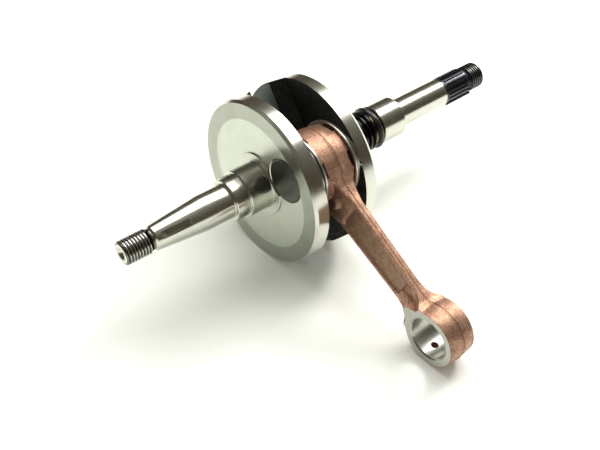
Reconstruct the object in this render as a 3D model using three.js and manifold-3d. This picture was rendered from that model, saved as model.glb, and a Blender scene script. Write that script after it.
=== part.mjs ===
// Built-up crankshaft of a small two-stroke scooter engine, with its connecting rod.
// Millimetres, +Z up. The crank axis runs along X, tapered flywheel end at -X, splined drive
// end at +X. The part stands as it rests on a bench: on both web rims and on the small end.
import * as THREE from 'three';
import { mergeVertices } from 'three/addons/utils/BufferGeometryUtils.js';
import Module from 'manifold-3d';

const wasm = await Module();
wasm.setup();

// ---- driving dimensions -------------------------------------------------------------------
const FIT = 0.25;              // gap left between two pieces that touch
const THROW = 19.6;            // crank axis to crankpin axis (stroke 39.2)
const PIN_ANGLE = 144.1;       // degrees from +Y towards +Z
const WEB_R = 35.5;            // web rim radius
const RIM_SEGMENTS = 72;
const WEB_T = 6.4;             // web rim thickness
const WEB_GAP = 19.6;          // between the inner edges of the two rims
const MID_X = WEB_T + WEB_GAP / 2;
const WEB_CHAMFER = [1.3, 0.9];      // along X, radially
const FACE_R = [27.2, 28.0];   // foot and lip of the shallow recess in the outer face
const FACE_DEPTH = 0.4;
const BOSS_R = 13.7;           // raised boss round the shaft
const BOSS_H = 0.25;           // its height above the outer rim face
const LOBE_H = 5.0;            // counterweight height above the inner rim edge
const LOBE_EDGE = [6.5, 1.5];  // foot and top of its wall, from the crank axis towards the pin
const PAD_R = 16.4;            // turned pad round the crankpin on the inner face
const PAD_H = 1.2;

const PIN_R = 9;
const PIN_CHAMFER = 0.45;
const WASHER_R = 15.8;
const WASHER_T = 1.0;
const ROLLERS = 14;
const ROLLER_R = 1.25;
const ROLLER_LENGTH = 9.4;
const PITCH_R = PIN_R + FIT + ROLLER_R;
const RACE_R = PITCH_R + ROLLER_R + FIT;
const CAGE_WALL = 1.3;
const CAGE_LENGTH = 12.4;

const ROD_LENGTH = 80;
const BIG_R = 15.1;
const BIG_W = 14.0;
const SMALL_R = 12;
const SMALL_BORE_R = 8.5;
const SMALL_W = 12.6;
const SHANK_W = 3.6;
const SHANK_H = [8.4, 6.8];    // half depth at the big end and at the small end
const POCKET_DEPTH = 0.9;
const POCKET_RIM = 1.5;
const OIL_HOLE_R = 1.5;
const OIL_HOLE_ANGLE = 70;      // degrees round the small end, from the tip downwards
const OIL_SLOTS = [-58, -121];   // degrees round the big end, from the shank
const ROD_SLOPE = 25.94;       // shank below the horizontal, towards -Y

const KEY_SEAT = { x: -43.2, bottom: 3.5, cutterR: 10, width: 3 };   // in line with the pin

const ORING_R = 8.5;           // centre line radius
const ORING_SECTION_R = 1.05;
const ORING_X = 61.3;

// ---- solids -------------------------------------------------------------------------------
const rad = (degrees) => degrees * Math.PI / 180;

/** Turns a three.js geometry into a manifold solid with its faces outward. */
function solid(geometry) {
  const bare = geometry.clone();
  bare.deleteAttribute('normal');
  bare.deleteAttribute('uv');
  const merged = mergeVertices(bare, 1e-4);
  const vertices = new Float32Array(merged.attributes.position.array);
  const triangles = new Uint32Array(merged.index.array);
  const corner = (k) => new THREE.Vector3().fromArray(vertices, 3 * triangles[k]);
  let volume = 0;
  for (let k = 0; k < triangles.length; k += 3) {
    volume += corner(k).dot(corner(k + 1).cross(corner(k + 2)));
  }
  if (volume < 0) {
    for (let k = 0; k < triangles.length; k += 3) {
      [triangles[k], triangles[k + 1]] = [triangles[k + 1], triangles[k]];
    }
  }
  return new wasm.Manifold(new wasm.Mesh({
    numProp: 3, vertProperties: vertices, triVerts: triangles,
  }));
}

/** Turns a manifold solid back into a three.js geometry. */
function geometryOf(body) {
  const mesh = body.getMesh();
  const geometry = new THREE.BufferGeometry();
  geometry.setAttribute('position', new THREE.BufferAttribute(mesh.vertProperties, 3));
  geometry.setIndex(new THREE.BufferAttribute(mesh.triVerts, 1));
  geometry.computeVertexNormals();
  return geometry;
}

/** Revolves [radius, x] points about the X axis; the profile starts and ends on the axis. */
function turned(points, segments) {
  const profile = points.map(([r, x]) => new THREE.Vector2(r, x));
  return new THREE.LatheGeometry(profile, segments).rotateZ(-Math.PI / 2);
}

/** A ring of rectangular section about X, with broken edges. */
function ring(inner, outer, from, to, edge, segments) {
  return turned([
    [inner + edge, from], [outer - edge, from], [outer, from + edge], [outer, to - edge],
    [outer - edge, to], [inner + edge, to], [inner, to - edge], [inner, from + edge],
    [inner + edge, from],
  ], segments);
}

/** A plain round bar along X from one station to another, centred on (y, z). */
function bar(radius, from, to, segments, y = 0, z = 0) {
  return turned([[0, from], [radius, from], [radius, to], [0, to]], segments).translate(0, y, z);
}

/** Extrudes an outline given as [a, b] pairs symmetrically to the given width. */
function plate(outline, width) {
  const shape = new THREE.Shape(outline.map(([a, b]) => new THREE.Vector2(a, b)));
  const geometry = new THREE.ExtrudeGeometry(shape, {
    depth: width, bevelEnabled: false, curveSegments: 1,
  });
  return geometry.translate(0, 0, -width / 2);
}

/** Points on an arc about (a, b), angles in degrees. */
function arc(a, b, radius, from, to, steps) {
  return Array.from({ length: steps + 1 }, (_, k) => {
    const angle = rad(from + (to - from) * k / steps);
    return [a + radius * Math.cos(angle), b + radius * Math.sin(angle)];
  });
}

/** Profile of a screw thread: crests and roots between two stations. */
function threadProfile(from, pitch, turns, crest, root) {
  const points = [];
  for (let k = 0; k < turns; k += 1) {
    const x = from + k * pitch;
    points.push([root, x], [crest, x + 0.42 * pitch], [crest, x + 0.58 * pitch]);
  }
  points.push([root, from + turns * pitch]);
  return points;
}

// ---- finishes -----------------------------------------------------------------------------
const finish = (color, roughness, metalness) => (
  new THREE.MeshStandardMaterial({ color, roughness, metalness }));
const groundSteel = () => finish(0xb9bab3, 0.28, 1.0);
const darkSteel = () => finish(0x70736f, 0.4, 1.0);
const copperPlate = () => finish(0xa9705a, 0.45, 0.9);
const washerSteel = () => finish(0xc4c3ba, 0.35, 1.0);
const bearingSteel = () => finish(0xcfd0cc, 0.15, 1.0);
const cageSteel = () => finish(0xa9a08c, 0.4, 0.9);
const nitrile = () => finish(0x17181b, 0.5, 0.0);

function node(name, geometry, material) {
  const mesh = new THREE.Mesh(geometry, material);
  mesh.name = name;
  return mesh;
}

// ---- crank halves -------------------------------------------------------------------------
const pinY = THROW * Math.cos(rad(PIN_ANGLE));
const pinZ = THROW * Math.sin(rad(PIN_ANGLE));

/** Frame with its first axis towards the crankpin and its second along the crank axis. */
function towardsPin() {
  const first = new THREE.Vector3(0, Math.cos(rad(PIN_ANGLE)), Math.sin(rad(PIN_ANGLE)));
  const second = new THREE.Vector3(1, 0, 0);
  return new THREE.Matrix4().makeBasis(first, second, first.clone().cross(second));
}

/** One web with boss, recessed face, counterweight and pin pad; outer face at x = 0. */
function web() {
  const disc = solid(turned([
    [0, -BOSS_H], [BOSS_R, -BOSS_H], [BOSS_R, FACE_DEPTH], [FACE_R[0], FACE_DEPTH],
    [FACE_R[1], 0], [WEB_R - WEB_CHAMFER[1], 0], [WEB_R, WEB_CHAMFER[0]],
    [WEB_R, WEB_T - 0.4], [WEB_R - 0.4, WEB_T], [0, WEB_T],
  ], RIM_SEGMENTS));
  const top = WEB_T + LOBE_H;
  const blank = solid(turned([
    [0, WEB_T - 1], [WEB_R, WEB_T - 1], [WEB_R, top - 0.6], [WEB_R - 0.6, top], [0, top],
  ], RIM_SEGMENTS));
  const half = solid(plate([
    [-40, WEB_T - 0.5], [LOBE_EDGE[0] + 0.5, WEB_T - 0.5], [LOBE_EDGE[1], top], [-40, top],
    ], 80).applyMatrix4(towardsPin()));
  const relief = solid(bar(PAD_R, WEB_T, top + 1, 48, pinY, pinZ));
  const pad = solid(bar(PAD_R - 0.5, WEB_T - 1, WEB_T + PAD_H, 48, pinY, pinZ))
    .intersect(solid(bar(WEB_R - 0.2, 0, top, RIM_SEGMENTS)));
  const hole = solid(bar(PIN_R + FIT, -2, top + 2, 48, pinY, pinZ));
  return disc.add(blank.intersect(half).subtract(relief)).add(pad).subtract(hole);
}

/** Web and tapered flywheel shaft, one forging. */
function leftCrankHalf() {
  const tail = -64.4;
  const thread = solid(turned([
    [0, tail], [3.7, tail], ...threadProfile(tail + 0.4, 1.25, 9, 5.0, 4.2), [4.2, -51], [0, -51],
  ], 24));
  const shaft = solid(turned([
    [0, -52.6], [4.2, -52.6], [4.2, -51.4], [5.1, -50.8], [7.25, -28.5], [7.25, -17.2],
    [8.5, -16.7], [9.0, -16.2], [9.0, -10.6], [9.4, -10.4], [10.0, -9.9], [10.0, 1], [0, 1],
  ], 48));
  const { x, bottom, cutterR, width } = KEY_SEAT;
  const seat = solid(bar(cutterR, -width / 2, width / 2, 40).rotateY(Math.PI / 2)
    .translate(x, bottom + cutterR, 0).rotateX(rad(PIN_ANGLE)));
  const centre = solid(turned([
    [0, tail - 1], [2.6, tail - 1], [1.3, tail + 1.3], [1.3, tail + 3], [0, tail + 3.6],
  ], 24));
  return web().add(shaft).add(thread).subtract(seat).subtract(centre);
}

/** Web and splined drive shaft, one forging; its worm drives the oil pump. */
function rightCrankHalf() {
  const outer = 2 * WEB_T + WEB_GAP;
  const mirrored = geometryOf(web()).applyMatrix4(new THREE.Matrix4().makeScale(-1, 1, 1));
  const flange = solid(mirrored.translate(outer, 0, 0));
  const shaft = solid(turned([
    [0, outer - 1], [10.0, outer - 1], [10.0, 46.2], [9.4, 46.8], [7.9, 47.0], [7.9, 58.4],
    [8.2, 58.5], [8.2, 59.9], [7.2, 60.1], [7.2, 62.4], [9.0, 62.6], [9.0, 74.4], [8.4, 75.0],
    [6.5, 75.0], [6.5, 105.0], [5.8, 106.2], [5.8, 119.0], [5.3, 119.6], [5.3, 121.4], [0, 121.4],
  ], 48));
  const worm = solid(turned([
    [0, 47.4], ...threadProfile(47.6, 2.5, 4, 9.1, 7.6), [0, 57.7],
  ], 36));
  const teeth = 20;
  const outline = [];
  for (let k = 0; k < teeth; k += 1) {
    [[-0.36, 5.7], [-0.16, 6.5], [0.16, 6.5], [0.36, 5.7]].forEach(([part, r]) => {
      const angle = 2 * Math.PI * (k + part) / teeth;
      outline.push([r * Math.cos(angle), r * Math.sin(angle)]);
    });
  }
  const spline = solid(plate(outline, 14.4).rotateY(Math.PI / 2).translate(111.8, 0, 0))
    .intersect(solid(turned([
      [0, 104], [6.6, 104], [6.6, 118.2], [5.6, 119.2], [0, 119.2],
    ], 48)));
  const thread = solid(turned([
    [0, 120.4], ...threadProfile(120.6, 1.25, 7, 6.0, 5.2), [5.2, 129.5], [4.7, 130], [0, 130],
  ], 24));
  const centre = solid(turned([
    [0, 126.4], [1.3, 127.0], [1.3, 128.7], [2.6, 131], [0, 131],
  ], 24));
  return flange.add(shaft).add(worm).add(spline).add(thread).subtract(centre);
}

// ---- crankpin and big-end bearing ---------------------------------------------------------
/** Solid crankpin, its ends just below the web faces; x = 0 at the middle of the crank. */
function crankPin() {
  const half = WEB_T + WEB_GAP / 2 - 0.25;
  return turned([
    [0, -half], [PIN_R - PIN_CHAMFER, -half], [PIN_R, -half + PIN_CHAMFER],
    [PIN_R, half - PIN_CHAMFER], [PIN_R - PIN_CHAMFER, half], [0, half],
  ], 48);
}

function thrustWasher() {
  return ring(PIN_R + FIT, WASHER_R, -WASHER_T / 2, WASHER_T / 2, 0.15, 56);
}

function needleRoller() {
  const half = ROLLER_LENGTH / 2;
  return turned([
    [0, -half], [ROLLER_R - 0.25, -half], [ROLLER_R, -half + 0.25],
    [ROLLER_R, half - 0.25], [ROLLER_R - 0.25, half], [0, half],
  ], 16);
}

/** Cage with one window per roller. */
function needleCage() {
  const inner = PITCH_R - CAGE_WALL / 2;
  const outer = PITCH_R + CAGE_WALL / 2;
  let cage = solid(ring(inner, outer, -CAGE_LENGTH / 2, CAGE_LENGTH / 2, 0.1, 56));
  const window = new THREE.BoxGeometry(ROLLER_LENGTH + 2 * FIT, 6, 2 * (ROLLER_R + FIT));
  for (let k = 0; k < ROLLERS; k += 1) {
    const cut = window.clone().translate(0, PITCH_R, 0).rotateX(2 * Math.PI * k / ROLLERS);
    cage = cage.subtract(solid(cut));
  }
  return cage;
}

// ---- connecting rod -----------------------------------------------------------------------
/** Rod in its own frame: big end at the origin, small end at +X, crank axis along Z. */
function connectingRod() {
  const L = ROD_LENGTH;
  const big = solid(turned([
    [0, -BIG_W / 2], [BIG_R - 0.4, -BIG_W / 2], [BIG_R, 0], [BIG_R - 0.4, BIG_W / 2], [0, BIG_W / 2],
  ], 64).rotateY(Math.PI / 2));
  const small = solid(turned([
    [0, -SMALL_W / 2], [SMALL_R - 0.35, -SMALL_W / 2], [SMALL_R, 0],
    [SMALL_R - 0.35, SMALL_W / 2], [0, SMALL_W / 2],
  ], 56).rotateY(Math.PI / 2).translate(L, 0, 0));

  const upper = [
    [4, 12.4], [9, 12.0], [12.5, 10.2], [15.5, 9.1], [19, 8.6], [24, SHANK_H[0]],
    [64, SHANK_H[1]], [68, 6.9], [70.5, 7.4], [73, 8.8], [76, 9.5],
  ];
  const side = plate([...upper, ...upper.map(([u, n]) => [u, -n]).reverse()], 40);
  const half = [
    [3, 7.0], [9, 7.0], [11.5, 6.2], [13.2, 4.7], [16, 4.2], [18.5, 3.4], [21, 2.6],
    [24, SHANK_W / 2], [60, SHANK_W / 2], [64, 2.4], [67, 3.7], [69.5, SMALL_W / 2], [77, SMALL_W / 2],
  ];
  const plan = plate([...half, ...half.map(([u, w]) => [u, -w]).reverse()], 40)
    .rotateX(Math.PI / 2);
  const shank = solid(side).intersect(solid(plan));

  const neckTop = [[62.5, 1.2], [65.6, 1.6], [67.5, 2.9], [69.5, 4.9], [71.5, 8.0], [76, 9.0]];
  const neckSide = [
    [59.5, 2.4], [62, 3.1], [64, 4.4], [65.4, SMALL_W / 2 - 0.01], [76, SMALL_W / 2 - 0.01],
  ];
  const neck = solid(plate([[59.5, 0.4], ...neckTop, ...neckTop.map(([u, n]) => [u, -n]).reverse(),
    [59.5, -0.4]], 40)).intersect(solid(plate(
    [...neckSide, ...neckSide.map(([u, w]) => [u, -w]).reverse()], 40).rotateX(Math.PI / 2)));

  const nearEnd = SHANK_H[0] - POCKET_RIM;
  const farEnd = SHANK_H[1] - POCKET_RIM;
  const pocketOutline = [
    ...arc(25.5, nearEnd - 2, 2, 180, 90, 4), ...arc(58, farEnd - 1.6, 1.6, 90, 0, 4),
    ...arc(58, -farEnd + 1.6, 1.6, 0, -90, 4), ...arc(25.5, -nearEnd + 2, 2, -90, -180, 4),
  ];
  const pocket = solid(plate(pocketOutline, 10)
    .translate(0, 0, SHANK_W / 2 - POCKET_DEPTH + 5));
  const pocketBelow = solid(plate(pocketOutline, 10)
    .translate(0, 0, -(SHANK_W / 2 - POCKET_DEPTH + 5)));
  const pads = solid(turned([[0, -4.4], [2.2, -4.4], [2.8, -3.8], [2.8, 3.8], [2.2, 4.4], [0, 4.4]],
    20).rotateY(Math.PI / 2).translate(16.8, 0, 0));

  const race = solid(bar(RACE_R, -20, 20, 64).rotateY(Math.PI / 2));
  const bore = solid(turned([
    [0, -20], [20, -20], [SMALL_BORE_R, -SMALL_W / 2 + 0.5], [SMALL_BORE_R, SMALL_W / 2 - 0.5],
    [20, 20], [0, 20],
  ], 48).rotateY(Math.PI / 2).translate(L, 0, 0));
  const oilHole = solid(bar(OIL_HOLE_R, 0, 20, 20).rotateZ(rad(OIL_HOLE_ANGLE)).translate(L, 0, 0));
  let rod = big.add(shank).add(small).add(neck).subtract(pocket).subtract(pocketBelow).add(pads)
    .subtract(race).subtract(bore).subtract(oilHole);

  const slot = new THREE.BoxGeometry(8, 6.0, 3);
  OIL_SLOTS.forEach((angle) => [-1, 1].forEach((face) => {
    const cut = slot.clone().translate(RACE_R + 2.6, 0, face * (BIG_W / 2 + 0.3))
      .rotateZ(rad(angle));
    rod = rod.subtract(solid(cut));
  }));
  return rod;
}

// ---- assembly -----------------------------------------------------------------------------
const crank = new THREE.Group();
crank.name = 'crank_assembly';
crank.position.set(-32.8, 32.16, WEB_R);

crank.add(node('left_crank_half', geometryOf(leftCrankHalf()), groundSteel()));
crank.add(node('right_crank_half', geometryOf(rightCrankHalf()), groundSteel()));

const oring = node('shaft_o_ring', new THREE.TorusGeometry(ORING_R, ORING_SECTION_R, 10, 40)
  .rotateY(Math.PI / 2), nitrile());
oring.position.set(ORING_X, 0, 0);
crank.add(oring);

const bigEnd = new THREE.Group();
bigEnd.name = 'big_end';
bigEnd.position.set(MID_X, pinY, pinZ);
crank.add(bigEnd);
bigEnd.add(node('crank_pin', crankPin(), darkSteel()));
bigEnd.add(node('needle_cage', geometryOf(needleCage()), cageSteel()));
for (let k = 0; k < ROLLERS; k += 1) {
  const angle = 2 * Math.PI * k / ROLLERS;
  const roller = node(`needle_roller_${String(k + 1).padStart(2, '0')}`, needleRoller(),
    bearingSteel());
  roller.position.set(0, PITCH_R * Math.cos(angle), PITCH_R * Math.sin(angle));
  bigEnd.add(roller);
}
[['left_thrust_washer', -1], ['right_thrust_washer', 1]].forEach(([name, hand]) => {
  const washer = node(name, thrustWasher(), washerSteel());
  washer.position.x = hand * (BIG_W / 2 + FIT + WASHER_T / 2);
  bigEnd.add(washer);
});

const rod = node('connecting_rod', geometryOf(connectingRod()), copperPlate());
const along = new THREE.Vector3(0, -Math.cos(rad(ROD_SLOPE)), -Math.sin(rad(ROD_SLOPE)));
const across = new THREE.Vector3(1, 0, 0);
rod.setRotationFromMatrix(new THREE.Matrix4().makeBasis(
  along, across.clone().cross(along), across));
bigEnd.add(rod);

export default crank;
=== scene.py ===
"""Looks of a built-up two-stroke crankshaft with its connecting rod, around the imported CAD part.

Every piece is modelled on a bench whose X axis is the crank axis and whose zero is the outer
face of the left web, in millimetres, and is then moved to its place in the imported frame.
"""

import logging
import math
from dataclasses import dataclass
from enum import Enum
from typing import Callable, Optional, Sequence

import bpy
from mathutils import Euler, Matrix, Vector


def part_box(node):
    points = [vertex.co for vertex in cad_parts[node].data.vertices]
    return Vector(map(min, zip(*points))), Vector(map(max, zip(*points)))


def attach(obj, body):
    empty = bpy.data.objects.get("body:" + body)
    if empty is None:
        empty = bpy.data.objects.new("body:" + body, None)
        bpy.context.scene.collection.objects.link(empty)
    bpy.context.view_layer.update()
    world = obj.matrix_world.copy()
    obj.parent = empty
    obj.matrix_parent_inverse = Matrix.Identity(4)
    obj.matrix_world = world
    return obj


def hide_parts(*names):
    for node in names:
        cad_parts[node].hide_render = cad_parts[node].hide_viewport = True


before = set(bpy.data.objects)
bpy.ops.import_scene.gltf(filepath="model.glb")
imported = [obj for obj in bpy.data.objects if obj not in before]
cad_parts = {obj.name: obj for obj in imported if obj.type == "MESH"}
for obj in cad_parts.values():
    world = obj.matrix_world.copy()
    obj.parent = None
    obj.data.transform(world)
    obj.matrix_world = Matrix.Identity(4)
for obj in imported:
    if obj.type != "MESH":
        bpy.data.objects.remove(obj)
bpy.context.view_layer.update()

MM = 0.001
MERGE = 0.002  # mm: vertices nearer than this are one
log = logging.getLogger("crankshaft")

Profile = Sequence[tuple[float, float]]
FaceTest = Callable[[Vector, Vector], bool]
Finish = tuple[bpy.types.Material, FaceTest]


# ---- bench ----------------------------------------------------------------------------------
class Boolean(Enum):
    """Ways in which one solid is worked with another."""

    CUT = "DIFFERENCE"
    WELD = "UNION"
    TRIM = "INTERSECT"


@dataclass(frozen=True)
class Bench:
    """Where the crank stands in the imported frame, read from the CAD nodes.

    Args:
        tail: distance from the left web's outer face to the left end of the crank, in mm.
        small_radius: outer radius of the small end, in mm.
    """

    tail: float = 64.4
    small_radius: float = 12.0

    def zero(self) -> Vector:
        """Returns the bench's zero, on the crank axis at the left web's outer face."""
        low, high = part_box("left_crank_half")
        return Vector((low.x + self.tail * MM, (low.y + high.y) / 2, (low.z + high.z) / 2))

    def pin(self) -> Vector:
        """Returns the middle of the crankpin, on the bench, in mm."""
        low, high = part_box("crank_pin")
        return ((low + high) / 2 - self.zero()) / MM

    def small_end(self) -> Vector:
        """Returns the middle of the small end, on the bench, in mm."""
        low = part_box("connecting_rod")[0]
        y = low.y + self.small_radius * MM - self.zero().y
        z = low.z + self.small_radius * MM - self.zero().z
        return Vector((self.pin().x, y / MM, z / MM))


BENCH = Bench()
PIN = BENCH.pin()
TO_PIN = Vector((0, PIN.y, PIN.z)).normalized()
BESIDE_PIN = Vector((1, 0, 0)).cross(TO_PIN)


def put_down() -> None:
    """Deselects everything."""
    for item in list(bpy.context.selected_objects):
        item.select_set(False)


def pick_up(piece: bpy.types.Object) -> None:
    """Makes a piece the only one that is selected, and the active one."""
    put_down()
    piece.select_set(True)
    bpy.context.view_layer.objects.active = piece


def new_point(name: str, place: Vector) -> bpy.types.Object:
    """Starts a mesh from one vertex, left in edit mode.

    Args:
        name: the piece's name.
        place: where the vertex stands, in mm.

    Returns:
        The new object, which sits at the origin.
    """
    put_down()
    bpy.ops.mesh.primitive_plane_add(size=MM, location=place * MM)
    piece = bpy.context.active_object
    piece.name = name
    bpy.ops.object.transform_apply(location=True, rotation=True, scale=True)
    bpy.ops.object.mode_set(mode="EDIT")
    bpy.ops.mesh.select_all(action="SELECT")
    bpy.ops.mesh.merge(type="CENTER")
    return piece


def traced(name: str, corners: Sequence[Vector]) -> bpy.types.Object:
    """Draws a line through corners by extruding a vertex from one to the next.

    Args:
        name: the piece's name.
        corners: the points of the line, in mm.

    Returns:
        The line as a mesh object, left in edit mode with all of it selected.
    """
    piece = new_point(name, corners[0])
    for before, after in zip(corners, corners[1:]):
        bpy.ops.mesh.extrude_vertices_move(
            TRANSFORM_OT_translate={"value": tuple((after - before) * MM)}
        )
    bpy.ops.mesh.select_all(action="SELECT")
    return piece


def close_up(tolerance: float = MERGE) -> None:
    """Merges doubles and turns all faces outward, in edit mode.

    Args:
        tolerance: the distance under which two vertices become one, in mm.
    """
    bpy.ops.mesh.select_all(action="SELECT")
    bpy.ops.mesh.remove_doubles(threshold=tolerance * MM)
    bpy.ops.mesh.normals_make_consistent(inside=False)
    bpy.ops.object.mode_set(mode="OBJECT")


def turned(
    name: str, profile: Profile, steps: int, centre: Vector = Vector((0, 0, 0))
) -> bpy.types.Object:
    """Turns a profile about an axis along X, as on a lathe.

    Args:
        name: the piece's name.
        profile: (radius, x) points in mm. It starts and ends on the axis, or where it started.
        steps: facets round the piece.
        centre: a point on the axis, in mm.

    Returns:
        A closed solid.
    """
    corners = [Vector((x, centre.y, centre.z + radius)) for radius, x in profile]
    piece = traced(name, corners)
    bpy.ops.mesh.remove_doubles(threshold=MERGE * MM)
    bpy.ops.mesh.select_all(action="SELECT")
    bpy.ops.mesh.spin(
        steps=steps,
        angle=2 * math.pi,
        center=tuple(centre * MM),
        axis=(1, 0, 0),
    )
    close_up()
    return piece


def pressed(name: str, corners: Sequence[Vector], travel: Vector) -> bpy.types.Object:
    """Extrudes a closed flat outline.

    Args:
        name: the piece's name.
        corners: the outline, in mm, without its first point again.
        travel: how far and which way it is extruded, in mm.

    Returns:
        A closed solid.
    """
    piece = traced(name, corners)
    bpy.ops.mesh.edge_face_add()
    bpy.ops.mesh.extrude_region_move(TRANSFORM_OT_translate={"value": tuple(travel * MM)})
    close_up()
    return piece


def work(piece: bpy.types.Object, tool: bpy.types.Object, way: Boolean) -> None:
    """Cuts, welds or trims a piece with a tool, which is used up.

    Args:
        piece: the solid that is worked.
        tool: the other solid.
        way: what is done with the two.
    """
    modifier = piece.modifiers.new(way.name, "BOOLEAN")
    modifier.operation = way.value
    modifier.solver = "EXACT"
    modifier.object = tool
    pick_up(piece)
    bpy.ops.object.modifier_apply(modifier=modifier.name)
    bpy.data.meshes.remove(tool.data)


def joined(pieces: Sequence[bpy.types.Object]) -> bpy.types.Object:
    """Joins meshes into the first of them and returns it."""
    put_down()
    for piece in pieces:
        piece.select_set(True)
    bpy.context.view_layer.objects.active = pieces[0]
    bpy.ops.object.join()
    return pieces[0]


def copied(piece: bpy.types.Object, name: str) -> bpy.types.Object:
    """Returns a copy of a piece with its own mesh."""
    twin = piece.copy()
    twin.data = piece.data.copy()
    twin.name = name
    bpy.context.scene.collection.objects.link(twin)
    return twin


def moved(piece: bpy.types.Object, change: Matrix) -> bpy.types.Object:
    """Moves or turns a piece and puts the change into its mesh.

    Args:
        piece: the object, which sits at the origin.
        change: the move, in metres.

    Returns:
        The same object.
    """
    piece.matrix_world = change
    pick_up(piece)
    bpy.ops.object.transform_apply(location=True, rotation=True, scale=True)
    return piece


def smoothed(piece: bpy.types.Object, angle: float = 32.0) -> None:
    """Shades a piece smooth up to an angle in degrees, with large faces kept flat."""
    pick_up(piece)
    bpy.ops.object.shade_smooth_by_angle(angle=math.radians(angle))
    modifier = piece.modifiers.new("flat_faces", "WEIGHTED_NORMAL")
    modifier.keep_sharp = True
    bpy.ops.object.modifier_apply(modifier=modifier.name)


def dressed(piece: bpy.types.Object, finishes: Sequence[Finish]) -> None:
    """Gives each face the first finish whose test it meets.

    Args:
        piece: the piece, still on the bench.
        finishes: pairs of a material and a test of a face's centre in mm and its normal.
    """
    mesh = piece.data
    mesh.materials.clear()
    for material, _ in finishes:
        mesh.materials.append(material)
    for face in mesh.polygons:
        centre = face.center / MM
        for index, (_, test) in enumerate(finishes):
            if test(centre, face.normal):
                face.material_index = index
                break


def settled(piece: bpy.types.Object, body: str, node: str) -> None:
    """Moves a finished piece from the bench to its place and lets it stand for its CAD node.

    Args:
        piece: the piece, on the bench.
        body: the CAD body that it rides on.
        node: the CAD node that it replaces.
    """
    moved(piece, Matrix.Translation(BENCH.zero()))
    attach(piece, body)
    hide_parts(node)
    log.info("%s: %d faces", piece.name, len(piece.data.polygons))


def anywhere(centre: Vector, normal: Vector) -> bool:
    """Returns True for every face."""
    return True


def off_axis(place: Vector) -> float:
    """Returns how far a place is from the crank axis, in mm."""
    return math.hypot(place.y, place.z)


def off_pin(place: Vector) -> float:
    """Returns how far a place is from the crankpin's axis, in mm."""
    return math.hypot(place.y - PIN.y, place.z - PIN.z)


# ---- finishes -------------------------------------------------------------------------------
def tint(colour: str) -> tuple[float, float, float, float]:
    """Turns an sRGB hex colour into linear RGBA.

    Args:
        colour: six hex digits with a leading hash.

    Returns:
        Linear red, green and blue, and an alpha of 1.
    """
    parts = [int(colour[k : k + 2], 16) / 255 for k in (1, 3, 5)]
    linear = [c / 12.92 if c <= 0.04045 else ((c + 0.055) / 1.055) ** 2.4 for c in parts]
    return (linear[0], linear[1], linear[2], 1.0)


def add_node(
    tree: bpy.types.NodeTree,
    kind: str,
    settings: Optional[dict[str, object]] = None,
    inputs: Optional[dict[str | int, object]] = None,
) -> bpy.types.Node:
    """Adds a node with its settings, values and links.

    Args:
        tree: the node tree.
        kind: the node's type name.
        settings: attributes of the node.
        inputs: a value, or the socket that is linked in, for each input.

    Returns:
        The new node.
    """
    node = tree.nodes.new(kind)
    for key, value in (settings or {}).items():
        setattr(node, key, value)
    for key, value in (inputs or {}).items():
        if isinstance(value, bpy.types.NodeSocket):
            tree.links.new(value, node.inputs[key])
        else:
            node.inputs[key].default_value = value
    return node


def new_material(name: str) -> bpy.types.Material:
    """Returns a new material whose node tree is empty."""
    made = bpy.data.materials.new(name)
    made.use_nodes = True
    made.node_tree.nodes.clear()
    return made


def ramp(node: bpy.types.Node, stops: Sequence[tuple[float, tuple[float, ...]]]) -> bpy.types.Node:
    """Sets the stops of a colour ramp node.

    Args:
        node: the colour ramp.
        stops: (position, linear RGBA) pairs.

    Returns:
        The same node.
    """
    elements = node.color_ramp.elements
    while len(elements) < len(stops):
        elements.new(0.5)
    for element, (position, colour) in zip(elements, stops):
        element.position = position
        element.color = colour
    return node


class Axis(Enum):
    """Axes that a turned surface runs about."""

    CRANK = "crank"
    PIN = "pin"


def axis_centre(axis: Axis) -> Vector:
    """Returns a point on one of the axes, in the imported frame, in metres."""
    zero = BENCH.zero()
    if axis is Axis.CRANK:
        return zero
    return zero + PIN * MM


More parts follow.
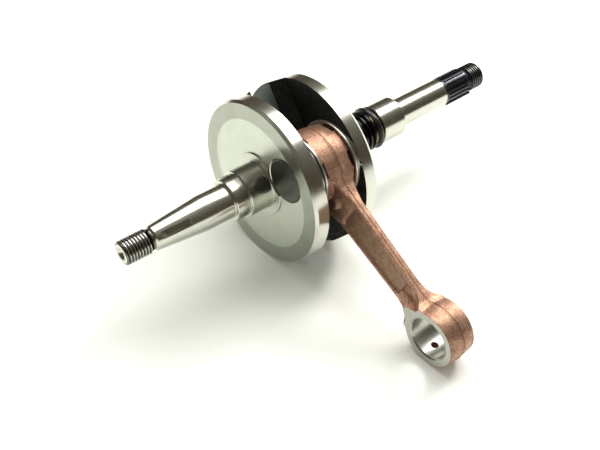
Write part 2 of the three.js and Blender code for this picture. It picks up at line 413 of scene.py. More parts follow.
@dataclass(frozen=True)
class MachinedSteel:
    """Steel worked on a lathe or a grinder: fine lines run round its axis.

    Args:
        name: the finish's name.
        colour: sRGB hex colour of the bright metal.
        shade: sRGB hex colour in the tool lines.
        roughness: how wide its reflections spread.
        line: spacing of the tool lines, in mm.
        depth: depth of the tool lines, in mm.
        stretch: anisotropy, 0 for ground and over 0.3 for turned.
        stain: share of the shade in cloudy patches.
        axis: the axis that the lines run about.
    """

    name: str
    colour: str
    shade: str
    roughness: float
    line: float
    depth: float
    stretch: float = 0.0
    stain: float = 0.35
    axis: Axis = Axis.CRANK

    def material(self) -> bpy.types.Material:
        """Builds the finish and returns it."""
        made = new_material(self.name)
        tree = made.node_tree
        place = add_node(tree, "ShaderNodeTexCoord")
        centred = add_node(
            tree,
            "ShaderNodeVectorMath",
            {"operation": "SUBTRACT"},
            {0: place.outputs["Object"], 1: tuple(axis_centre(self.axis))},
        )
        flat = add_node(
            tree,
            "ShaderNodeVectorMath",
            {"operation": "MULTIPLY"},
            {0: centred.outputs[0], 1: (0, 1, 1)},
        )
        radius = add_node(
            tree, "ShaderNodeVectorMath", {"operation": "LENGTH"}, {0: flat.outputs[0]}
        )
        parts = add_node(tree, "ShaderNodeSeparateXYZ", {}, {0: centred.outputs[0]})
        along = add_node(
            tree,
            "ShaderNodeMath",
            {"operation": "ADD"},
            {0: parts.outputs[0], 1: radius.outputs["Value"]},
        )
        lines = add_node(
            tree,
            "ShaderNodeTexNoise",
            {"noise_dimensions": "1D"},
            {
                "W": along.outputs[0],
                "Scale": 1 / (self.line * MM),
                "Detail": 3.0,
                "Roughness": 0.6,
            },
        )
        cloud = add_node(
            tree,
            "ShaderNodeTexNoise",
            {},
            {"Vector": centred.outputs[0], "Scale": 1 / (7 * MM), "Detail": 3.0},
        )
        mixed = add_node(
            tree,
            "ShaderNodeMath",
            {"operation": "MULTIPLY"},
            {0: lines.outputs[0], 1: cloud.outputs[0]},
        )
        spread = add_node(
            tree,
            "ShaderNodeMapRange",
            {},
            {
                "Value": mixed.outputs[0],
                "From Min": 0.12,
                "From Max": 0.42,
                "To Min": self.stain,
                "To Max": 0.0,
            },
        )
        colour = add_node(
            tree,
            "ShaderNodeMix",
            {"data_type": "RGBA"},
            {0: spread.outputs[0], 6: tint(self.colour), 7: tint(self.shade)},
        )
        dull = add_node(
            tree,
            "ShaderNodeMapRange",
            {},
            {
                "Value": lines.outputs[0],
                "From Min": 0.3,
                "From Max": 0.7,
                "To Min": self.roughness * 0.96,
                "To Max": self.roughness * 1.06,
            },
        )
        bump = add_node(
            tree,
            "ShaderNodeBump",
            {},
            {"Height": lines.outputs[0], "Distance": self.depth * MM, "Strength": 1.0},
        )
        shader = add_node(
            tree,
            "ShaderNodeBsdfPrincipled",
            {},
            {
                "Base Color": colour.outputs[2],
                "Metallic": 1.0,
                "Roughness": dull.outputs[0],
                "Normal": bump.outputs[0],
                "Anisotropic": self.stretch,
            },
        )
        if self.stretch > 0:
            round_axis = add_node(
                tree, "ShaderNodeTangent", {"direction_type": "RADIAL", "axis": "X"}
            )
            tree.links.new(round_axis.outputs[0], shader.inputs["Tangent"])
        add_node(tree, "ShaderNodeOutputMaterial", {}, {"Surface": shader.outputs[0]})
        return made


@dataclass(frozen=True)
class GrainedSurface:
    """A surface whose grain runs no way in particular: forged, tumbled, plated or moulded.

    Args:
        name: the finish's name.
        colour: sRGB hex colour of most of it.
        dark: sRGB hex colour in its hollows.
        light: sRGB hex colour on its high spots.
        metallic: 1 for bare metal, less under scale or oxide.
        roughness: lowest and highest roughness.
        grain: size of the grain, in mm.
        depth: depth of the grain, in mm.
        blotch: size of the larger patches, in mm.
        contrast: how strongly the light and dark spots show, 0 to 1.
        coat: strength of an oily or glossy film.
    """

    name: str
    colour: str
    dark: str
    light: str
    metallic: float
    roughness: tuple[float, float]
    grain: float
    depth: float
    blotch: float = 6.0
    contrast: float = 0.5
    coat: float = 0.0

    def material(self) -> bpy.types.Material:
        """Builds the finish and returns it."""
        made = new_material(self.name)
        tree = made.node_tree
        place = add_node(tree, "ShaderNodeTexCoord")
        fine = add_node(
            tree,
            "ShaderNodeTexNoise",
            {},
            {
                "Vector": place.outputs["Object"],
                "Scale": 1 / (self.grain * MM),
                "Detail": 5.0,
                "Roughness": 0.62,
            },
        )
        patches = add_node(
            tree,
            "ShaderNodeTexNoise",
            {},
            {
                "Vector": place.outputs["Object"],
                "Scale": 1 / (self.blotch * MM),
                "Detail": 4.0,
                "Roughness": 0.55,
            },
        )
        both = add_node(
            tree,
            "ShaderNodeMix",
            {"data_type": "FLOAT"},
            {0: 0.25, 2: fine.outputs[0], 3: patches.outputs[0]},
        )
        reach = 0.16 / max(self.contrast, 0.05) * 0.5
        shades = ramp(
            add_node(tree, "ShaderNodeValToRGB", {}, {0: both.outputs[0]}),
            [
                (max(0.0, 0.5 - reach), tint(self.dark)),
                (0.5, tint(self.colour)),
                (min(1.0, 0.5 + reach), tint(self.light)),
            ],
        )
        dull = add_node(
            tree,
            "ShaderNodeMapRange",
            {},
            {
                "Value": fine.outputs[0],
                "From Min": 0.5 - 0.2,
                "From Max": 0.5 + 0.2,
                "To Min": self.roughness[1],
                "To Max": self.roughness[0],
            },
        )
        bump = add_node(
            tree,
            "ShaderNodeBump",
            {},
            {
                "Height": fine.outputs[0],
                "Distance": self.depth * MM,
                "Strength": 0.5 + 0.5 * self.contrast,
            },
        )
        shader = add_node(
            tree,
            "ShaderNodeBsdfPrincipled",
            {},
            {
                "Base Color": shades.outputs[0],
                "Metallic": self.metallic,
                "Roughness": dull.outputs[0],
                "Normal": bump.outputs[0],
                "Coat Weight": self.coat,
                "Coat Roughness": 0.12,
            },
        )
        add_node(tree, "ShaderNodeOutputMaterial", {}, {"Surface": shader.outputs[0]})
        return made


# Bearing-grade steel, ground between centres: near mirror, with the wheel's faint rings.
GROUND_STEEL = MachinedSteel("ground_steel", "#D2D2C8", "#B0B0A6", 0.20, 0.25, 0.0004)
# Dull steel of a cut thread: its oiled flanks, and crests rubbed through their oxide.
THREAD_STEEL = MachinedSteel("dull_thread_steel", "#84837B", "#5A5953", 0.34, 0.2, 0.002)
# The same steel, face-turned and left: silver grey, its rings fan the light into rays.
FACED_STEEL = MachinedSteel("face_turned_steel", "#A9ADA1", "#787D73", 0.21, 0.30, 0.005, 0.6)
# Floor of the shallow face recess, wiped with a coarser tool: paler and duller.
RECESS_STEEL = MachinedSteel("recess_turned_steel", "#CBD0C3", "#AEB3A6", 0.34, 0.45, 0.004, 0.3)
# Turned top of the counterweight: the faced steel darkened as painted shade between the webs, dark
# and half glossy.
LOBE_SHADE_STEEL = MachinedSteel("lobe_painted_shade_turned_steel", "#4E534E", "#343833", 0.34, 0.8, 0.01, 0.3)
# Case-hardened pin, ground on its ends after quenching: dull dark grey.
PIN_STEEL = MachinedSteel(
    "case_hardened_steel", "#63675F", "#43463F", 0.36, 0.5, 0.004, 0.2, 0.6, Axis.PIN
)
# Bored and faced rod ends: bright, with boring rings round the pin's direction.
BORED_STEEL = MachinedSteel(
    "bored_steel", "#BDBEB6", "#98988E", 0.32, 0.4, 0.0004, 0.0, 0.3, Axis.PIN
)
# Forged and quenched steel under mill scale: black, rough, barely glossy.
FORGED_BLACK = GrainedSurface(
    "forged_scaled_steel", "#2B2E2B", "#171917", "#484C46", 0.6, (0.42, 0.62), 0.5, 0.05, 5.0, 0.6
)
# Forged steel flashed with copper against carburising: warm, matt, sandy grain.
COPPER = GrainedSurface(
    "copper_plated_forging", "#A9806A", "#6F4E3D", "#D4AF96",
    0.85, (0.42, 0.58), 0.28, 0.05, 4.0, 0.8
)
# The same copper, darker and greyer, on the floors of the rod's pocket: painted shade in the
# recess.
POCKET_SHADE_COPPER = GrainedSurface(
    "pocket_painted_shade_copper", "#93745D", "#6B5140", "#B29479",
    0.85, (0.42, 0.55), 0.3, 0.03, 3.0, 0.7
)
# Painted shadow in the corner beside the forging's flash line, where the dies' step shades the
# copper: dark brown and dull.
FLASH_SHADOW_COPPER = GrainedSurface(
    "painted_shadow_flash_corner", "#6A4835", "#4A3124", "#86604A", 0.7, (0.5, 0.62), 0.3, 0.03, 3.0, 0.6
)
# Steel washer, stamped and tumbled: pale, sprinkled with small dull pits.
WASHER = GrainedSurface(
    "tumbled_washer_steel", "#C9C7BC", "#8B897F", "#E6E4DA", 1.0, (0.24, 0.42), 0.35, 0.02, 3.0, 0.6
)
# Pressed cage strip, phosphated: brownish grey with a soft shine.
CAGE = GrainedSurface(
    "phosphated_cage_steel", "#8C8473", "#5E584B", "#ABA28F", 1.0, (0.34, 0.46), 0.3, 0.01, 3.0, 0.5
)
# Through-hardened needle rollers, lapped: a clean mirror.
ROLLER = MachinedSteel(
    "lapped_roller_steel", "#D4D5D0", "#A9AAA5", 0.1, 0.3, 0.001, 0.0, 0.2, Axis.PIN
)
# Steel blackened in hot salts, oiled: blue-black and half glossy.
BLACK_OXIDE = GrainedSurface(
    "black_oxide_steel", "#2C2C34", "#17171C", "#50515C",
    0.85, (0.24, 0.4), 0.4, 0.01, 4.0, 0.5, 0.25
)
# Pump worm in the same black, burnished by its cutter: glossy.
WORM_BLACK = GrainedSurface(
    "burnished_black_steel", "#131316", "#09090B", "#24252A",
    0.8, (0.14, 0.24), 0.5, 0.006, 4.0, 0.4, 0.5
)
# Ground seal seat: a mirror whose colour is painted straw brown, a painted reflection of the brown
# room.
SEAL_SEAT_REFLECTION_STEEL = MachinedSteel("seal_seat_painted_reflection_steel", "#A58A62", "#6E5B3F", 0.18, 0.35, 0.003)
# Moulded nitrile rubber, lightly greased: deep black with a small soft highlight.
NITRILE = GrainedSurface(
    "moulded_nitrile_rubber", "#0E0F12", "#08090B", "#17181B",
    0.0, (0.26, 0.36), 0.3, 0.004, 3.0, 0.4, 0.2
)


class Finishes:
    """All finishes of the crank, built once."""

    def __init__(self) -> None:
        """Builds each material."""
        self.ground = GROUND_STEEL.material()
        self.thread = THREAD_STEEL.material()
        self.faced = FACED_STEEL.material()
        self.recess = RECESS_STEEL.material()
        # counterweight tops: turned steel darkened as painted shade between the webs
        self.lobe = LOBE_SHADE_STEEL.material()
        self.pin = PIN_STEEL.material()
        self.bored = BORED_STEEL.material()
        self.forged = FORGED_BLACK.material()
        self.copper = COPPER.material()
        # pocket floors: darker copper as painted shade in the recess
        self.pocket_shade_copper = POCKET_SHADE_COPPER.material()
        # the finish called scale here is the painted shadow beside the rod's flash line
        self.scale = FLASH_SHADOW_COPPER.material()
        self.washer = WASHER.material()
        self.cage = CAGE.material()
        self.roller = ROLLER.material()
        self.oxide = BLACK_OXIDE.material()
        self.worm = WORM_BLACK.material()
        # seal seat: straw brown painted on a mirror as a painted reflection
        self.painted_brown_reflection = SEAL_SEAT_REFLECTION_STEEL.material()
        self.nitrile = NITRILE.material()


# ---- crank halves ---------------------------------------------------------------------------
@dataclass
class Thread:
    """A right-hand screw thread or worm winding, in mm.

    Args:
        start: where its first ridge starts, along the crank.
        pitch: distance from one ridge to the next.
        turns: how many times it goes round.
        root: radius of the bar under it.
        crest: radius over its ridges.
        flat: half width of the crest, as a share of the pitch.
        foot: half width at the root, as a share of the pitch.
        ends: lowest and highest x that are kept, and the depth of the lead-in chamfer.
    """

    start: float
    pitch: float
    turns: int
    root: float
    crest: float
    flat: float
    foot: float
    ends: tuple[float, float, float]

    def ridge(self, name: str) -> bpy.types.Object:
        """Winds the ridge and trims its ends.

        Args:
            name: the piece's name.

        Returns:
            The ridge, which reaches a little under the root.
        """
        shape = [
            (-self.foot, self.root - 0.2),
            (-self.foot, self.root),
            (-self.flat, self.crest),
            (self.flat, self.crest),
            (self.foot, self.root),
            (self.foot, self.root - 0.2),
            (-self.foot, self.root - 0.2),
        ]
        corners = [Vector((self.start + part * self.pitch, 0, r)) for part, r in shape]
        piece = traced(name, corners)
        bpy.ops.mesh.remove_doubles(threshold=MERGE * MM)
        bpy.ops.object.mode_set(mode="OBJECT")
        screw = piece.modifiers.new("winding", "SCREW")
        screw.axis = "X"
        screw.angle = 2 * math.pi
        screw.screw_offset = self.pitch * MM
        screw.iterations = self.turns
        screw.steps = 48
        screw.render_steps = 48
        screw.use_smooth_shade = False
        pick_up(piece)
        bpy.ops.object.modifier_apply(modifier=screw.name)
        bpy.ops.object.mode_set(mode="EDIT")
        bpy.ops.mesh.select_all(action="SELECT")
        bpy.ops.mesh.fill_holes(sides=0)
        close_up()
        low, high, lead = self.ends
        envelope = turned(
            "envelope",
            [
                (0, low),
                (self.crest - lead, low),
                (self.crest + 0.03, low + lead),
                (self.crest + 0.03, high - lead),
                (self.crest - lead, high),
                (0, high),
            ],
            64,
        )
        work(piece, envelope, Boolean.TRIM)
        return piece


@dataclass
class CrankHalf:
    """A full-disc web with its counterweight, and the shaft turned on it, in mm.

    Args:
        name: the piece's name.
        node: the CAD node that it stands for.
        mirrored: True for the half whose inner face looks to -X.
        shaft: (radius, x) profile from the free end to the web's boss.
        threads: the threads and windings on the shaft.
    """

    name: str
    node: str
    mirrored: bool
    shaft: Profile
    threads: Sequence[Thread]
    across: float = 32.4
    rim: float = 35.5
    web: float = 6.4
    lobe: float = 5.0
    boss: float = 13.7
    boss_height: float = 0.25
    recess: tuple[float, float, float] = (27.2, 28.0, 0.4)
    wall: tuple[float, float] = (6.5, 1.5)
    relief: float = 16.4
    pad: tuple[float, float] = (15.6, 1.2)
    pin: float = 9.0
    steps: int = 144

    def side(self, x: float) -> float:
        """Returns where a depth below the outer face lies along the crank."""
        return self.across - x if self.mirrored else x

    def depth(self, place: Vector) -> float:
        """Returns how deep a place lies below the web's outer face."""
        return self.across - place.x if self.mirrored else place.x

    def blank(self) -> bpy.types.Object:
        """Turns the shaft and the web, as thick as its counterweight all round."""
        top = self.web + self.lobe
        foot, lip, deep = self.recess
        web = [
            (self.boss - 0.15, -self.boss_height),
            (self.boss, 0.15 - self.boss_height),
            (self.boss, deep),
            (foot, deep),
            (lip, 0.0),
            (self.rim - 0.9, 0.0),
            (self.rim, 1.3),
            (self.rim, top - 0.7),
            (self.rim - 0.7, top),
            (0.0, top),
        ]
        return turned(
            self.name, [*self.shaft, *((r, self.side(x)) for r, x in web)], self.steps
        )

    def cut_counterweight(self, piece: bpy.types.Object) -> None:
        """Takes the web down to its floor outside the counterweight and beside the rod.

        Args:
            piece: the turned blank.
        """
        top = self.web + self.lobe
        foot, head = self.wall
        lean = (head - foot) / self.lobe
        outline = [(self.web, foot), (top + 1, head + lean), (top + 1, 60.0), (self.web, 60.0)]
        corners = [
            Vector((self.side(x), 0, 0)) + TO_PIN * u - BESIDE_PIN * 60 for x, u in outline
        ]
        work(piece, pressed("wall_cutter", corners, BESIDE_PIN * 120), Boolean.CUT)
        centre = Vector((0, PIN.y, PIN.z))
        relief = [
            (0, self.side(self.web - 0.05)),
            (self.relief, self.side(self.web - 0.05)),
            (self.relief, self.side(top + 1)),
            (0, self.side(top + 1)),
        ]
        work(piece, turned("relief_cutter", relief, 96, centre), Boolean.CUT)
        radius, height = self.pad
        pad = [
            (0, self.side(3)),
            (radius, self.side(3)),
            (radius, self.side(self.web + height - 0.2)),
            (radius - 0.2, self.side(self.web + height)),
            (0, self.side(self.web + height)),
        ]
        work(piece, turned("pad", pad, 96, centre), Boolean.WELD)
        hole = [
            (0, self.side(-2)),
            (self.pin + 0.45, self.side(-2)),
            (self.pin + 0.45, self.side(0.42)),
            (self.pin + 0.06, self.side(0.8)),
            (self.pin + 0.06, self.side(top + 1)),
            (0, self.side(top + 1)),
        ]
        work(piece, turned("pin_hole", hole, 96, centre), Boolean.CUT)

    def finish_of(self, finishes: Finishes) -> list[Finish]:
        """Returns the finish of each kind of face on the web and the shaft.

        Args:
            finishes: all finishes.

        Returns:
            Pairs of a material and a face test, the first that holds is used.
        """
        out = 1.0 if self.mirrored else -1.0
        foot, lip, deep = self.recess

        def recess(centre: Vector, normal: Vector) -> bool:
            return (
                normal.x * out > 0.5
                and abs(self.depth(centre)) < 0.45
                and 10.2 < off_axis(centre) < lip + 0.05
            )

        def annulus(centre: Vector, normal: Vector) -> bool:
            return (
                normal.x * out > 0.5
                and abs(self.depth(centre)) < 1.2
                and lip < off_axis(centre) < self.rim - 0.95
            )

        def pad(centre: Vector, normal: Vector) -> bool:
            return (
                self.web + 0.02 < self.depth(centre) < self.web + self.pad[1] + 0.1
                and off_pin(centre) < self.pad[0] + 0.05
            )

        # counterweight tops get the darker steel, painted shade between the webs
        def lobe(centre: Vector, normal: Vector) -> bool:
            return normal.x * out < -0.9 and self.depth(centre) > self.web + self.lobe - 0.1

        def scale(centre: Vector, normal: Vector) -> bool:
            return (
                self.depth(centre) > self.web - 0.2
                and self.depth(centre) < self.web + self.lobe + 0.1
                and off_axis(centre) < self.rim - 0.3
                and off_pin(centre) > self.pin + 0.3
            )

        return [
            (finishes.recess, recess),
            (finishes.faced, annulus),
            (finishes.faced, pad),
            (finishes.lobe, lobe),
            (finishes.forged, scale),
            (finishes.ground, anywhere),
        ]

    def cut_ends(self, piece: bpy.types.Object) -> None:
        """Cuts what the shaft has besides its turned shape; the halves state theirs."""

    def build(self, finishes: Finishes) -> bpy.types.Object:
        """Makes the half and puts it in place.

        Args:
            finishes: all finishes.

        Returns:
            The finished piece.
        """
        piece = self.blank()
        self.cut_counterweight(piece)
        self.cut_ends(piece)
        for number, thread in enumerate(self.threads):
            work(piece, thread.ridge(f"ridge_{number}"), Boolean.WELD)
        pick_up(piece)
        bpy.ops.object.mode_set(mode="EDIT")
        close_up()
        smoothed(piece)
        dressed(piece, self.finish_of(finishes))
        settled(piece, "crank", self.node)
        return piece


@dataclass
class LeftCrankHalf(CrankHalf):
    """The flywheel side: taper with a half-moon key seat, and a threaded end."""

    key_x: float = -43.2
    key_bottom: float = 3.5
    key_cutter: float = 10.0
    key_width: float = 3.0

    def finish_of(self, finishes: Finishes) -> list[Finish]:
        """Adds the thread's dull flanks to the web's finishes.

        Args:
            finishes: all finishes.

        Returns:
            Pairs of a material and a face test.
        """

        def flank(centre: Vector, normal: Vector) -> bool:
            return centre.x < -52.0 and 4.0 < off_axis(centre) < 4.96

        return [(finishes.thread, flank), *super().finish_of(finishes)]

    def cut_ends(self, piece: bpy.types.Object) -> None:
        """Cuts the key seat and the centre hole.

        Args:
            piece: the turned half.
        """
        half = self.key_width / 2
        cutter = turned(
            "key_cutter",
            [(0, -half), (self.key_cutter, -half), (self.key_cutter, half), (0, half)],
            96,
        )
        turn = Vector((1, 0, 0)).rotation_difference(BESIDE_PIN).to_matrix().to_4x4()
        place = Vector((self.key_x, 0, 0)) + TO_PIN * (self.key_bottom + self.key_cutter)
        moved(cutter, Matrix.Translation(place * MM) @ turn)
        work(piece, cutter, Boolean.CUT)
        tail = self.shaft[0][1]
        drill = [
            (0, tail - 1),
            (3.1, tail - 1),
            (2.5, tail + 0.3),
            (1.2, tail + 1.5),
            (1.2, tail + 3.2),
            (0, tail + 3.9),
        ]
        work(piece, turned("centre_drill", drill, 48), Boolean.CUT)


@dataclass
class RightCrankHalf(CrankHalf):
    """The drive side: oil-pump worm, seal seat, ground journals, splines and thread."""

    teeth: int = 20
    tooth_root: float = 5.7
    tooth_tip: float = 6.5
    groove: float = 1.0
    run_out: tuple[float, float] = (105.0, 119.8)

    def spline_cutter(self) -> bpy.types.Object:
        """Returns the cutter of all the grooves: one is shaped and copied round."""
        near, far = self.run_out
        outline = [
            (near, self.tooth_tip + 0.5),
            (near + 0.3, self.tooth_tip),
            (near + 1.0, self.tooth_root + 0.35),
            (near + 1.9, self.tooth_root + 0.08),
            (near + 2.8, self.tooth_root),
            (far + 0.8, self.tooth_root),
            (far + 0.8, self.tooth_tip + 0.5),
        ]
        corners = [Vector((x, -self.groove / 2, r)) for x, r in outline]
        first = pressed("groove_cutter", corners, Vector((0, self.groove, 0)))
        cutters = [first]
        for tooth in range(1, self.teeth):
            twin = copied(first, f"groove_cutter_{tooth}")
            cutters.append(moved(twin, Matrix.Rotation(2 * math.pi * tooth / self.teeth, 4, "X")))
        return joined(cutters)

    def cut_ends(self, piece: bpy.types.Object) -> None:
        """Cuts the splines and the centre hole.

        Args:
            piece: the turned half.
        """
        work(piece, self.spline_cutter(), Boolean.CUT)
        tail = self.shaft[0][1]
        drill = [(0, tail + 1), (3.0, tail + 1), (2.4, tail), (1.2, tail - 1.3), (0, tail - 1.3)]
        work(piece, turned("centre_drill", drill, 48), Boolean.CUT)

    def finish_of(self, finishes: Finishes) -> list[Finish]:
        """Adds the drive shaft's finishes to those of the web.

        Args:
            finishes: all finishes.

        Returns:
            Pairs of a material and a face test.
        """

        def worm(centre: Vector, normal: Vector) -> bool:
            return 46.75 < centre.x < 58.45

        # the seal seat gets the straw-brown painted reflection
        def seal(centre: Vector, normal: Vector) -> bool:
            return 58.45 < centre.x < 60.0

        def rubbed(centre: Vector, normal: Vector) -> bool:
            return 120.0 < centre.x < 129.5 and off_axis(centre) > 5.95

        def blackened(centre: Vector, normal: Vector) -> bool:
            return centre.x > 103.8

        return [
            (finishes.thread, rubbed),
            (finishes.worm, worm),
            (finishes.painted_brown_reflection, seal),
            (finishes.oxide, blackened),
            *super().finish_of(finishes),
        ]


LEFT_SHAFT = [
    (0.0, -64.4), (3.9, -64.4), (4.25, -64.0), (4.25, -51.6), (5.1, -50.8), (7.25, -28.5),
    (7.25, -16.95), (7.45, -16.75), (8.75, -16.7), (9.0, -16.45), (9.0, -10.65),
    (9.1, -10.55), (9.75, -10.5), (10.0, -10.25), (10.0, -0.45),
    (10.25, -0.25),
]
RIGHT_SHAFT = [
    (0.0, 130.0), (3.6, 130.0), (4.6, 129.7), (5.1, 129.2), (5.2, 128.9), (5.2, 121.0),
    (5.5, 120.2), (5.6, 119.5), (6.3, 118.9), (6.5, 118.6), (6.5, 103.9), (6.5, 75.2), (6.7, 75.0),
    (8.5, 75.0), (9.0, 74.5), (9.0, 62.8), (8.8, 62.6), (7.2, 62.4), (7.2, 60.1), (8.1, 60.0),
    (8.2, 59.9), (8.2, 58.6), (8.1, 58.5), (7.6, 58.4), (7.6, 47.0), (9.3, 46.8), (9.9, 46.4),
    (10.0, 46.2), (10.0, 32.85), (10.25, 32.65),
]


# ---- crankpin, washers and seal ring --------------------------------------------------------
@dataclass
class CrankPin:
    """The solid crankpin, pressed into both webs, in mm."""

    radius: float = 9.0
    half_length: float = 15.95
    chamfer: float = 0.45

    def build(self, finishes: Finishes) -> bpy.types.Object:
        """Turns the pin, dresses its ends and running surface, and puts it in place."""
        outer = self.half_length
        profile = [
            (0, -outer), (self.radius - self.chamfer - 0.1, -outer),
            (self.radius - self.chamfer, -outer + 0.03), (self.radius, -outer + self.chamfer),
            (self.radius, outer - self.chamfer), (self.radius - self.chamfer, outer - 0.03),
            (self.radius - self.chamfer - 0.1, outer), (0, outer),
        ]
        shifted = [(r, x + PIN.x) for r, x in profile]
        piece = turned("hardened_crank_pin", shifted, 96, Vector((0, PIN.y, PIN.z)))
        smoothed(piece)

        def ends(centre: Vector, normal: Vector) -> bool:
            return abs(normal.x) > 0.3

        dressed(piece, [(finishes.pin, ends), (finishes.bored, anywhere)])
        settled(piece, "crank", "crank_pin")
        return piece


@dataclass
class ThrustWasher:
    """A flat washer between the rod's big end and a web, in mm."""

    name: str
    node: str
    hand: int
    inner: float = 9.25
    outer: float = 15.8
    thickness: float = 1.0
    offset: float = 7.75

    def build(self, finishes: Finishes) -> bpy.types.Object:
        """Turns the washer with rounded rims and puts it in place."""
        half = self.thickness / 2
        near = PIN.x + self.hand * self.offset - half
        far = near + self.thickness
        profile = [
            (self.inner + 0.2, near), (self.outer - 0.28, near), (self.outer - 0.08, near + 0.1),
            (self.outer, near + 0.28), (self.outer, far - 0.28), (self.outer - 0.08, far - 0.1),
            (self.outer - 0.28, far), (self.inner + 0.2, far), (self.inner, far - 0.2),
            (self.inner, near + 0.2), (self.inner + 0.2, near),
        ]
        piece = turned(self.name, profile, 96, Vector((0, PIN.y, PIN.z)))
        smoothed(piece)
        dressed(piece, [(finishes.washer, anywhere)])
        settled(piece, self.node, self.node)
        return piece


@dataclass
class ShaftSealRing:
    """The O-ring in its groove, pushed slightly askew, in mm."""

    x: float = 60.7
    radius: float = 8.35
    section: float = 1.3
    askew: float = -6.0

    def build(self, finishes: Finishes) -> bpy.types.Object:
        """Rolls the ring, sets it askew and puts it in place."""
        put_down()
        bpy.ops.mesh.primitive_torus_add(
            major_radius=self.radius * MM,
            minor_radius=self.section * MM,
            major_segments=96,
            minor_segments=24,
        )
        piece = bpy.context.active_object
        piece.name = "nitrile_o_ring"
        bpy.ops.object.mode_set(mode="EDIT")
        bpy.ops.mesh.select_all(action="SELECT")
        bpy.ops.transform.resize(value=(1.0, 1.0, 0.94))
        close_up()
        turn = Euler((0, math.radians(90 + self.askew), 0)).to_matrix()
        moved(piece, Matrix.Translation(Vector((self.x * MM, 0, 0))) @ turn.to_4x4())
        pick_up(piece)
        bpy.ops.object.shade_smooth()
        dressed(piece, [(finishes.nitrile, anywhere)])
        settled(piece, "crank", "shaft_o_ring")
        return piece


# ---- connecting rod -------------------------------------------------------------------------
@dataclass
class ConnectingRod:
    """The forged rod, shaped lying along -Y from the crankpin, in mm.

    A place on it is u along the rod from the crankpin, w along the crank and n across both.
    """

    length: float = 80.0
    big: float = 15.1
    race: float = 12.0
    big_width: float = 14.0
    small: float = 12.0
    bore: float = 8.5
    small_width: float = 12.6
    shank: float = 1.8
    pocket: float = 0.9
    pocket_rim: float = 1.5
    oil_hole: float = 1.5
    oil_turn: float = math.radians(70)
    oil_slots: tuple[float, float] = (58.0, 121.0)
    voxel: float = 0.33

    def at(self, u: float, w: float, n: float) -> Vector:
        """Returns the place of a point of the rod, in mm."""
        return Vector((w, -u, n))

    def side_plate(self) -> bpy.types.Object:
        """Returns the rod's outline seen along the crank, as a thick plate."""
        upper = [
            (4, 12.4), (9, 12.0), (12.5, 10.2), (15.5, 9.1), (19, 8.6), (24, 8.4), (64, 6.8),
            (68, 6.9), (70.5, 7.4), (73, 8.8), (76, 9.5),
        ]
        outline = [*upper, *((u, -n) for u, n in reversed(upper))]
        return pressed(
            "side_plate", [self.at(u, -8, n) for u, n in outline], Vector((16, 0, 0))
        )

    def plan_plate(self) -> bpy.types.Object:
        """Returns the rod's outline seen across the crank, as a thick plate."""
        half = self.small_width / 2 + 0.1
        edge = [
            (3, 7.1), (9, 7.1), (11.5, 6.0), (13.2, 4.4), (15, 3.7), (18, 3.0), (21, 2.4),
            (24, self.shank), (60, self.shank), (64, 2.4), (67, 3.7), (69.5, half), (77, half),
        ]
        outline = [*edge, *((u, -w) for u, w in reversed(edge))]
        return pressed(
            "plan_plate", [self.at(u, w, -16) for u, w in outline], Vector((0, 0, 32))
        )

    def neck(self) -> bpy.types.Object:
        """Returns the wedge that carries the small end's faces onto the shank."""
        half = self.small_width / 2 + 0.1
        top = [(59.5, 0.4), (62.5, 1.2), (65.6, 1.6), (67.5, 2.9), (69.5, 4.9), (71.5, 8.0),
               (76, 9.0)]
        outline = [*top, *((u, -n) for u, n in reversed(top))]
        piece = pressed("neck", [self.at(u, -8, n) for u, n in outline], Vector((16, 0, 0)))
        edge = [(59.0, 2.4), (62, 3.1), (64, 4.4), (65.4, half), (77, half)]
        plan = [*edge, *((u, -w) for u, w in reversed(edge))]
        tool = pressed("neck_plan", [self.at(u, w, -16) for u, w in plan], Vector((0, 0, 32)))
        work(piece, tool, Boolean.TRIM)
        return piece

    def pocket_tool(self, hand: int) -> bpy.types.Object:
        """Returns the cutter of one side's pocket.

        Args:
            hand: -1 or 1, for the side that it cuts.

        Returns:
            A prism with rounded ends, pushed straight out from the pocket's floor.
        """
        near, far = 8.3 - self.pocket_rim, 6.9 - self.pocket_rim
        corners = []
        for centre_u, centre_n, radius, first in (
            (25.8, near - 2, 2.0, 180), (57.6, far - 1.6, 1.6, 90),
            (57.6, -far + 1.6, 1.6, 0), (25.8, -near + 2, 2.0, -90),
        ):
            for k in range(5):
                turn = math.radians(first - 22.5 * k)
                u = centre_u + radius * math.cos(turn)
                n = centre_n + radius * math.sin(turn)
                corners.append(self.at(u, hand * (self.shank - self.pocket), n))
        return pressed(f"pocket_{hand}", corners, Vector((hand * 5, 0, 0)))

    def blank(self) -> bpy.types.Object:
        """Forges the rod: the rough shapes are run together into one skin and softened."""
        half = self.big_width / 2 + 0.15
        big = turned(
            "forged_connecting_rod",
            [(0, -half), (self.big - 0.5, -half), (self.big, -1.5), (self.big, 1.5),
             (self.big - 0.5, half), (0, half)],
            96,
        )
        half = self.small_width / 2 + 0.15
        small = turned(
            "small_end",
            [(0, -half), (self.small - 0.45, -half), (self.small, -1.2), (self.small, 1.2),
             (self.small - 0.45, half), (0, half)],
            96,
            self.at(self.length, 0, 0),
        )
        shank = self.side_plate()
        work(shank, self.plan_plate(), Boolean.TRIM)
        for hand in (-1, 1):
            work(shank, self.pocket_tool(hand), Boolean.CUT)
        pads = turned(
            "pads",
            [(0, -4.65), (1.9, -4.65), (2.6, -4.3), (2.9, -3.6), (2.9, 3.6), (2.6, 4.3),
             (1.9, 4.65), (0, 4.65)],
            32,
            self.at(16.8, 0, 0),
        )
        piece = joined([big, small, shank, self.neck(), pads])
        skin = piece.modifiers.new("forged_skin", "REMESH")
        skin.mode = "VOXEL"
        skin.voxel_size = self.voxel * MM
        pick_up(piece)
        bpy.ops.object.modifier_apply(modifier=skin.name)
        soften = piece.modifiers.new("die_radii", "SMOOTH")
        soften.factor = 0.5
        soften.iterations = 3
        bpy.ops.object.modifier_apply(modifier=soften.name)
        return piece

